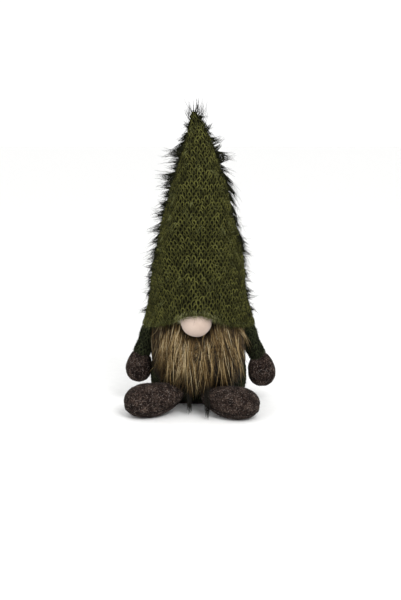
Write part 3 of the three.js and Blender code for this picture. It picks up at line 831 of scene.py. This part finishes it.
# Pointed locks with their roots spread over the backing, which part and fan outwards below the nose.
def locks(name, seed, count, each, rows, length, stand, thick, light=1.0):
    draw = np.random.default_rng(seed)
    x = draw.uniform(-57, 55, count)
    row = draw.uniform(*rows, count)
    top = BEARD_TOP - 3 - 6 * (np.abs(x) / 60) ** 2
    top = np.where(np.abs(x - BEARD_MIDDLE) < 19, np.minimum(top, 112), top)
    z = top - row * (top - 66)
    x = x * (1 + 0.08 * smooth(112 - z, 4, 34))
    slope = 0.31 * np.tanh((x - 2) / 26) + draw.normal(0, 0.07, count)
    end = z - draw.uniform(*length, count)
    tip_x = x + slope * (z - end)
    tip_x = np.clip(tip_x, -62 + draw.uniform(0, 4, count), 62 - draw.uniform(0, 4, count))
    edge = read(BEARD_EDGE, tip_x) + draw.normal(0, 3, count)
    end = np.minimum(np.maximum(end, edge), z - 16)
    dark = draw.uniform(0, 1, count) < 0.36
    tone = np.where(dark, draw.normal(0.22, 0.07, count), draw.normal(0.7, 0.14, count)) * light
    # Painted shade: the tone is made darker towards positive x and darker again towards both sides of the
    # beard.
    tone = np.clip(tone - 0.21 * smooth(x, -30, 45) - 0.05 * smooth(np.abs(x), 30, 58), 0, 1)
    total = count * each
    pick = np.repeat(np.arange(count), each)
    root_x = x[pick] + draw.normal(0, 3.4, total)
    root_z = z[pick] + draw.normal(0, 4.0, total)
    reach = draw.uniform(0.62, 1.0, total)
    tip_x = root_x + (tip_x[pick] + draw.normal(0, 0.8, total) - root_x) * reach
    tip_z = root_z + (end[pick] + draw.normal(0, 2.5, total) - root_z) * reach
    pile = draw.uniform(*stand, count)[pick] * draw.uniform(0.75, 1.05, total)
    pile = pile * (1 - 0.45 * smooth(np.abs(root_x), 36, 64))
    tone = np.clip(tone[pick] + draw.normal(0, 0.2, total), 0, 1)
    return strands(name, draw, root_x, root_z, tip_x, np.maximum(tip_z, 18), pile,
                   draw.uniform(*thick, total), tone)


# Faux fur: glossy acrylic hair. The tone of each strand goes from dark brown to pale straw.
def acrylic_hair(name, lengthwise, tones):
    material, tree = new_material(name)
    tone = add(tree, "ShaderNodeAttribute", attribute_name="tone").outputs["Fac"]
    along = add(tree, "ShaderNodeAttribute", attribute_name="along").outputs["Fac"]
    length = ramp(tree, along, lengthwise)
    strand = ramp(tree, tone, tones)
    mixed = add(tree, "ShaderNodeMix", {"Factor": 1.0, 6: strand, 7: length}, data_type="RGBA",
                blend_type="MULTIPLY")
    finish_material(tree, add(tree, "ShaderNodeBsdfPrincipled", {
        "Base Color": mixed.outputs[2], "Roughness": 0.5, "Specular IOR Level": 0.2}))
    return material


sandy_hair = acrylic_hair(
    "sandy acrylic hair",
    [(0.0, "#4a3e2f"), (0.26, "#e9e2d6"), (0.4, "#ffffff"), (0.66, "#f6f1e6"), (0.88, "#948b74"),
     (1.0, "#2b2920")],
    [(0.1, "#100c06"), (0.36, "#302412"), (0.6, "#6e5735"), (0.82, "#af9566"), (1.0, "#f2e0b8")])
# Painted shade: the underfur under the locks is coloured dark to stand for the shade in the gaps between
# them; the dark wisps use the same hair.
dark_hair = acrylic_hair(
    "dark underfur",
    [(0.0, "#ffffff"), (0.6, "#ffffff"), (1.0, "#8c8a70")],
    [(0.1, "#0f0e08"), (0.5, "#221d12"), (0.9, "#40331f")])

under = locks("beard_underfur", 11, 150, 20, (0.15, 1.0), (40, 62), (3, 9), (0.26, 0.4))
lower = locks("beard_lower_locks", 12, 110, 34, (0.45, 1.0), (42, 66), (7, 12), (0.17, 0.28), 0.9)
middle = locks("beard_middle_locks", 13, 110, 34, (0.15, 0.6), (46, 70), (10, 15), (0.16, 0.27))
upper = locks("beard_upper_locks", 14, 105, 34, (0.0, 0.3), (46, 74), (12, 17), (0.15, 0.26), 1.04)
draw = np.random.default_rng(15)
STRAYS = 640
stray_x = draw.uniform(-52, 55, STRAYS)
stray_z = draw.uniform(84, 122, STRAYS)
stray_z = np.where(np.abs(stray_x - BEARD_MIDDLE) < 19, np.minimum(stray_z, 106), stray_z)
strays = strands(
    "beard_stray_hairs", draw, stray_x, stray_z, stray_x * 1.14 + draw.normal(0, 7, STRAYS),
    stray_z - draw.uniform(25, 66, STRAYS), draw.uniform(11, 18, STRAYS), draw.uniform(0.15, 0.26, STRAYS),
    draw.uniform(0.45, 1, STRAYS))
# A few hairs lie over the top of its left sleeve
OVER_ARM = 26
arm_drop = draw.uniform(0, 1, (OVER_ARM, 1))
arm_roots = np.array([52, -42, 112]) + draw.normal(0, 2.8, (OVER_ARM, 3))
arm_tips = np.array([64, -33, 92]) + arm_drop * np.array([9, 6, -20]) + draw.normal(0, 2.6, (OVER_ARM, 3))
arm_bends = arm_roots * 0.4 + arm_tips * 0.6 + np.array([2, -8, 7])
over_arm = fibres("beard_hairs_over_arm", arm_roots * MM, arm_bends * MM, arm_tips * MM,
                  draw.uniform(0.14, 0.24, OVER_ARM) * MM, 7, draw.uniform(0.4, 1, OVER_ARM))
# Two thin dark wisps reach the table between the feet, one straight down and one lying forwards
WISP_HAIRS = 220
share = draw.uniform(0.55, 1, WISP_HAIRS)
straight = draw.uniform(0, 1, WISP_HAIRS) < 0.5
wisp_x = np.where(straight, -12.0, 12.0)
wisp_y = np.where(straight, -74.0, -98.0)
wisp_roots = np.stack([wisp_x + draw.normal(0, 2.4, WISP_HAIRS), np.full(WISP_HAIRS, -63.0),
                       draw.uniform(36, 52, WISP_HAIRS)], axis=1)
wisp_tips = np.stack([
    wisp_x + draw.normal(0, 1.9, WISP_HAIRS),
    wisp_y + draw.normal(0, 3, WISP_HAIRS) - 12 * ~straight * (share - 0.8),
    (1 - share) * 30 + 1.2], axis=1)
wisp_bends = wisp_roots * 0.4 + wisp_tips * 0.6 + np.array([0, -3, -3])
wisp_bends[:, 2] = np.maximum(wisp_bends[:, 2], 1.5)
wisps = fibres("beard_wisps", wisp_roots * MM, wisp_bends * MM, wisp_tips * MM,
               draw.uniform(0.24, 0.38, WISP_HAIRS) * MM, 7, draw.uniform(0, 0.5, WISP_HAIRS))
for piece in (lower, middle, upper, strays, over_arm):
    dress(piece, sandy_hair, "body")
for piece in (under, wisps):
    dress(piece, dark_hair, "body")
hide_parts("beard_pile")


# ---- Sleeves ----
# Short tubes of the dark knit, lightly stuffed and pressed flat where they are sewn on under the brim.
# The profile gives radius by distance from the shoulder, in millimetres.
LIMBS = {
    "left": {"sign": 1, "shoulder": Vector((60.5, -2, 103)), "wrist": Vector((82, -4, 65))},
    "right": {"sign": -1, "shoulder": Vector((-60.5, -2, 103)), "wrist": Vector((-78.5, -4, 69.5))},
}
SLEEVE_PROFILE = np.array([
    [-13, 4], [-11, 8], [-5, 10.5], [4, 11.6], [10, 12], [22, 12], [34, 11.3], [46, 11],
])
SACK_SIDE = 58.8
ROUND_SLEEVE = 12
SLEEVE_STITCH = (6.0, 4.6)


def sleeve_place(limb):
    down = (limb["wrist"] - limb["shoulder"]).normalized()
    side = Vector((0, 1, 0)).cross(down).normalized()
    down, side, depth = np.array(down), np.array(side), np.array(down.cross(side))
    start = np.array(limb["shoulder"])
    length = (limb["wrist"] - limb["shoulder"]).length

    def place(angle, at, out=0.0):
        angle, at, out = np.broadcast_arrays(angle, at, out)
        radius = read(SLEEVE_PROFILE, at) + 0.4 * np.sin(at / 4.5 + 2 * angle) + out
        wide = radius * np.cos(angle)
        deep = radius * np.sin(angle) * 1.12
        point = start + down * at[..., None] + side * wide[..., None] + depth * deep[..., None]
        # flat against the sack and outwards at the shoulder
        spare = limb["sign"] * point[..., 0] - SACK_SIDE
        point[..., 0] = np.where(spare < 0, limb["sign"] * (SACK_SIDE - 0.15 * spare), point[..., 0])
        bulge = 4.5 * (1 - smooth(at, 0, 30))
        point[..., 0] = point[..., 0] + limb["sign"] * bulge
        return point * MM

    return place, length


for name, limb in LIMBS.items():
    place, length = sleeve_place(limb)

    def sleeve_cloth_shape(angle, share, place=place, length=length):
        # the lower end is turned in and closed, so that the stuffing stays behind it
        at = np.minimum(-12.6 + (1 - share) * (length + 19), length + 1.6)
        closed = smooth((1 - share) * (length + 19) - 12.6 - length, 1.6, 5)
        return place(angle, at, -1.3 - 9.0 * closed)

    cloth = cloth_tube(f"{name}_sleeve_cloth", 40, 34, sleeve_cloth_shape)
    give_wall(cloth, 0.0004)
    dress(cloth, dark_ground, f"{name}_arm")
    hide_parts(f"{name}_sleeve")
    stitch_rows = int((length + 12) / SLEEVE_STITCH[1])
    grid = np.array([(c, r) for r in range(stitch_rows) for c in range(ROUND_SLEEVE)])

    def along_sleeve(across, upward, out, place=place, length=length):
        return place(across / 72 * 2 * math.pi, length - 0.4 - upward, out)

    lines, facing = stitch_lines(grid[:, 0], grid[:, 1], along_sleeve, *SLEEVE_STITCH, depth=-0.9)
    thick = np.full(lines.shape[:2], 1.05 * MM)
    knit = tubes(f"{name}_sleeve_knit", lines, facing, thick, 5, rng.uniform(0, 1, len(lines)))
    dress(knit, dark_yarn, f"{name}_arm")
    surface_fuzz(f"{name}_sleeve_fibres", place, 1400, (0, 2 * math.pi), 2, length + 1, (2.5, 6),
                 f"{name}_arm")


# ---- Mittens and feet ----
# Each is two pieces of brown-grey felt sewn round the edge, turned and stuffed, so it is fullest in the
# middle and the seam draws in round its rim.
PUFF_STEPS = 20
PUFF_PRESSURE = 3.0
PUFF_CAP = 0.0012


# Stuffs a closed pad: it is remeshed and blown up as cloth, and no point moves further than the cap.
def puff(piece, voxel):
    remesh = piece.modifiers.new("remesh", "REMESH")
    remesh.mode = "VOXEL"
    remesh.voxel_size = voxel
    apply_modifiers(piece)
    before = np.array([v.co for v in piece.data.vertices])
    cloth = piece.modifiers.new("cloth", "CLOTH")
    cloth.settings.use_pressure = True
    cloth.settings.uniform_pressure_force = PUFF_PRESSURE
    cloth.settings.quality = 5
    cloth.settings.mass = 0.3
    cloth.settings.effector_weights.gravity = 0
    cloth.point_cache.frame_start = 1
    cloth.point_cache.frame_end = PUFF_STEPS
    for step in range(1, PUFF_STEPS + 1):
        bpy.context.scene.frame_set(step)
    held = piece.evaluated_get(bpy.context.evaluated_depsgraph_get())
    after = np.array([v.co for v in held.data.vertices])
    piece.modifiers.remove(cloth)
    bpy.context.scene.frame_set(1)
    move = after - before
    size = np.linalg.norm(move, axis=1, keepdims=True)
    move *= np.minimum(1, PUFF_CAP / np.maximum(size, 1e-9))
    piece.data.vertices.foreach_set("co", (before + move).astype(np.float32).ravel())
    piece.data.update()


# Felt: pressed wool of several browns and greys, matt, with pale flecks and a fine nap.
def melange_felt(name, deep, middle, light, fleck):
    material, tree = new_material(name)
    place = add(tree, "ShaderNodeTexCoord").outputs["Object"]
    fibre = add(tree, "ShaderNodeTexNoise", {
        "Vector": place, "Scale": 520.0, "Detail": 8.0, "Roughness": 0.75})
    cloud = add(tree, "ShaderNodeTexNoise", {"Vector": place, "Scale": 110.0, "Detail": 3.0})
    both = add(tree, "ShaderNodeMath", {0: cloud.outputs["Fac"], 1: 0.3, 2: fibre.outputs["Fac"]},
               operation="MULTIPLY_ADD")
    tint = ramp(tree, both.outputs["Value"], [(0.52, deep), (0.66, middle), (0.8, light)])
    specks = add(tree, "ShaderNodeTexVoronoi", {"Vector": place, "Scale": 540.0, "Randomness": 1.0})
    mask = add(tree, "ShaderNodeMapRange", {
        "Value": specks.outputs["Distance"], 1: 0.12, 2: 0.3, 3: 1.0, 4: 0.0})
    pick = add(tree, "ShaderNodeTexNoise", {"Vector": place, "Scale": 300.0})
    some = add(tree, "ShaderNodeMapRange", {"Value": pick.outputs["Fac"], 1: 0.47, 2: 0.6, 3: 0.0, 4: 0.72})
    flecks = add(tree, "ShaderNodeMath", {0: mask.outputs["Result"], 1: some.outputs["Result"]},
                 operation="MULTIPLY")
    mixed = add(tree, "ShaderNodeMix", {"Factor": flecks.outputs["Value"], 6: tint, 7: colour(fleck)},
                data_type="RGBA")
    bump = add(tree, "ShaderNodeBump", {"Height": both.outputs["Value"], "Distance": 0.0007, "Strength": 0.8})
    finish_material(tree, add(tree, "ShaderNodeBsdfPrincipled", {
        "Base Color": mixed.outputs[2], "Roughness": 0.95, "Specular IOR Level": 0.08,
        "Normal": bump.outputs["Normal"]}))
    return material


brown_felt = melange_felt("brown melange felt", "#070504", "#1e1613", "#54473f", "#aca199")
felt_fibre = fine_fibre("felt nap", "#15100e", "#3a302b", "#978d84")


# Nap: short fibres teased out of the face of the felt.
def nap(name, piece, count, seed, body):
    draw = np.random.default_rng(seed)
    mesh = piece.data
    areas = np.array([p.area for p in mesh.polygons])
    chosen = draw.choice(len(areas), count, p=areas / areas.sum())
    centres = np.array([p.center for p in mesh.polygons])[chosen]
    out = np.array([p.normal for p in mesh.polygons])[chosen]
    roots = centres + draw.normal(0, 0.0004, centres.shape) - out * 0.0003
    lie = draw.normal(0, 1, (count, 3))
    lie = unit(lie - out * np.sum(lie * out, axis=1, keepdims=True))
    length = draw.uniform(0.8, 2.2, (count, 1)) * MM
    lift = draw.uniform(0.2, 0.9, (count, 1))
    bends, tips = lying(roots, out, lie, length, lift, 0.9, 0.8)
    kept = (tips[:, 2] > 0.0006) & (roots[:, 2] > 0.0012)
    thick = draw.uniform(0.06, 0.1, count)[kept] * MM
    made = fibres(name, roots[kept], bends[kept], tips[kept], thick, 4, draw.uniform(0, 1, count)[kept])
    dress(made, felt_fibre, body)


# A closed pad of felt: a sphere shaped by one rule and stuffed, and then its seam drawn in by another.
def pad(name, rule, seam, voxel, nap_count, seed, body, nodes):
    bpy.ops.object.select_all(action="DESELECT")
    bpy.ops.mesh.primitive_uv_sphere_add(segments=40, ring_count=24, radius=1, location=(0, 0, 0))
    made = bpy.context.object
    made.name = name
    move_corners(made, rule)
    puff(made, voxel)
    move_corners(made, seam)
    shade_smooth(made)
    dress(made, brown_felt, body)
    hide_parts(*nodes)
    nap(f"{name}_nap", made, nap_count, seed, body)


MITTEN_SHIFT = {"left": (0, 0, 0.0016), "right": (0.0014, 0, 0.0014)}
for name, limb in LIMBS.items():
    sign = limb["sign"]
    low_a, high_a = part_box(f"{name}_mitten_front")
    low_b, high_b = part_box(f"{name}_mitten_back")
    low = np.minimum(low_a, low_b)
    high = np.maximum(high_a, high_b)
    centre = (low + high) / 2 + np.array(MITTEN_SHIFT[name])
    half = (high - low) / 2

    def mitten_shape(unit_corners, centre=centre, half=half, sign=sign):
        p = unit_corners.copy()
        # a rounded pad, narrower at the wrist, with squarish shoulders
        p = np.sign(p) * np.abs(p) ** 0.9
        p[:, 0] *= 1 - 0.16 * smooth(p[:, 2], 0.1, 1.0)
        p[:, 0] += -0.10 * sign * smooth(p[:, 2], -0.2, 1.0)
        placed = centre + p * (half + 0.0006)
        placed[:, 2] += 0.005 * smooth(p[:, 2], 0.1, 0.9)
        return placed

    def mitten_seam(corners, centre=centre, half=half):
        off = corners - centre
        side = np.exp(-((off[:, 1] / 0.0011) ** 2))
        rim = np.clip(np.hypot(off[:, 0] / half[0], off[:, 2] / half[2]) - 0.55, 0, 1) / 0.45
        inward = -off.copy()
        inward[:, 1] = 0
        inward = unit(inward)
        lumps = 0.0002 * np.sin(corners[:, 0] * 520) * np.sin(corners[:, 2] * 470)
        return corners + inward * (0.0011 * side * rim)[:, None] - inward * lumps[:, None]

    pad(f"{name}_mitten", mitten_shape, mitten_seam, 0.0013, 2300, 40 + sign, f"{name}_hand",
        (f"{name}_mitten_front", f"{name}_mitten_back"))

# Cotton sewing thread, dull and darker than the felt.
seam_thread = fine_fibre("brown sewing thread", "#0b0807", "#16110e", "#2a221d")
TOE_BEARING = {"left": 60, "right": 66}
HEEL_RISE = {"left": 0.005, "right": 0.010}
FOOT_TOP = {"left": 0.0215, "right": 0.0240}
FOOT_MIDDLE = 0.0185
for name, limb in LIMBS.items():
    sign = limb["sign"]
    low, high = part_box(f"{name}_foot_upper")
    centre = (np.array(low) + np.array(high)) / 2
    centre[2] = FOOT_MIDDLE
    toe = math.radians(TOE_BEARING[name])
    ahead = np.array([math.sin(toe) * sign, -math.cos(toe), 0])
    beside = np.array([-ahead[1], ahead[0], 0])

    def foot_shape(unit_corners, centre=centre, ahead=ahead, beside=beside, rise=HEEL_RISE[name],
                   top=FOOT_TOP[name]):
        p = unit_corners.copy()
        length = 0.0376 * p[:, 0] - 0.008 * smooth(-p[:, 0], 0.2, 1.0)
        width = 0.0272 * p[:, 1] * (1 + 0.2 * p[:, 0])
        height = np.where(p[:, 2] > 0, top, 0.0212) * np.sign(p[:, 2]) * np.abs(p[:, 2]) ** 0.92
        height = height * (1 + 0.13 * p[:, 0]) + rise * np.maximum(-p[:, 0], 0) ** 2
        point = centre + ahead * length[:, None] + beside * width[:, None]
        point[:, 2] += height
        point[:, 2] = np.maximum(point[:, 2], 0.0009)
        return point

    def foot_seam(corners, centre=centre, ahead=ahead, beside=beside):
        off = corners - centre
        length = off @ ahead
        width = off @ beside
        seam_height = 0.0165 + 0.0012 * np.sin(length * 90)
        side = np.exp(-(((corners[:, 2] - seam_height) / 0.0012) ** 2))
        rim = np.clip(np.hypot(length / 0.0375, width / 0.0268) - 0.6, 0, 1) / 0.4
        inward = unit(-(ahead * length[:, None] + beside * width[:, None]))
        lumps = 0.00025 * np.sin(corners[:, 0] * 430) * np.sin(corners[:, 1] * 470)
        moved = corners + inward * (0.0012 * side * rim)[:, None]
        moved[:, 2] += lumps
        moved[:, 2] = np.maximum(moved[:, 2], 0.0003)
        return moved

    pad(f"{name}_foot", foot_shape, foot_seam, 0.0016, 3300, 50 + sign, f"{name}_foot",
        (f"{name}_foot_upper", f"{name}_foot_sole"))
    # a whipped seam shows as a dark line low round the toe
    turn = np.linspace(0, 2 * math.pi, 71)[:-1][:, None] + np.linspace(0, 0.075, 5)[None]
    level = np.full_like(turn, -0.34)
    rim = np.stack([np.cos(turn) * 0.945, np.sin(turn) * 0.945, level], axis=-1)
    line = foot_shape(rim.reshape(-1, 3)).reshape(*rim.shape)
    beyond = foot_shape(rim.reshape(-1, 3) * 1.2).reshape(*rim.shape)
    thick = np.full(turn.shape, 0.45 * MM)
    stitches = tubes(f"{name}_foot_seam", line, beyond - line, thick, 5, np.zeros(len(turn)))
    dress(stitches, seam_thread, f"{name}_foot")


# ---- Inside and underneath ----
# What the covers hold: a cotton bag of plastic pellets on a card in the base, with a felt disc under it,
# and polyester wadding everywhere else. It is white behind the pale nose, and coloured dark as painted shade
# behind the dark knit and felt, so that it doesn't show between the stitches.
# Each is matt, with the clumps, weave or grain of its own scale.
def inside_material(name, deep, light, scale, distance, roughness):
    material, tree = new_material(name)
    place = add(tree, "ShaderNodeTexCoord").outputs["Object"]
    pattern = add(tree, "ShaderNodeTexNoise", {"Vector": place, "Scale": scale, "Detail": 7.0})
    tint = ramp(tree, pattern.outputs["Fac"], [(0.3, deep), (0.7, light)])
    bump = add(tree, "ShaderNodeBump", {"Height": pattern.outputs["Fac"], "Distance": distance})
    finish_material(tree, add(tree, "ShaderNodeBsdfPrincipled", {
        "Base Color": tint, "Roughness": roughness, "Normal": bump.outputs["Normal"]}))
    return material


# Polythene pellets: grey-white beads a few millimetres across, with dark gaps between them.
def pellet_material():
    material, tree = new_material("plastic pellets")
    place = add(tree, "ShaderNodeTexCoord").outputs["Object"]
    cells = add(tree, "ShaderNodeTexVoronoi", {"Vector": place, "Scale": 300.0})
    tint = ramp(tree, cells.outputs["Distance"], [(0.1, "#d6dadb"), (0.6, "#8d9497")])
    bump = add(tree, "ShaderNodeBump", {"Height": cells.outputs["Distance"], "Distance": 0.0015},
               invert=True)
    finish_material(tree, add(tree, "ShaderNodeBsdfPrincipled", {
        "Base Color": tint, "Roughness": 0.4, "Normal": bump.outputs["Normal"]}))
    return material


inside = {
    "wadding": inside_material("polyester wadding", "#dcd9d2", "#f4f2ee", 260.0, 0.001, 1.0),
    "cotton": inside_material("woven cotton", "#c9c2b2", "#ded8ca", 900.0, 0.0002, 0.9),
    "card": inside_material("grey board", "#8a7657", "#a8936f", 420.0, 0.0002, 0.85),
    "thread": inside_material("dark sewing thread", "#121309", "#2a2c1b", 1800.0, 0.0003, 0.85),
    "dark_felt": brown_felt,
    "pellets": pellet_material(),
}
# Painted shade: the wadding behind the dark covers is coloured dark.
dark_wadding = inside_material("wadding darkened as painted shade", "#14140c", "#26271a", 260.0, 0.001, 1.0)
slot_of = {row["node"]: row["material_slot"] for row in frame["record"]["subparts"]}
for node_name, cad_node in frame["nodes"].items():
    material = inside.get(slot_of[node_name])
    if slot_of[node_name] == "wadding" and node_name != "nose_wad":
        material = dark_wadding
    if material:
        cad_node.data.materials.clear()
        cad_node.data.materials.append(material)
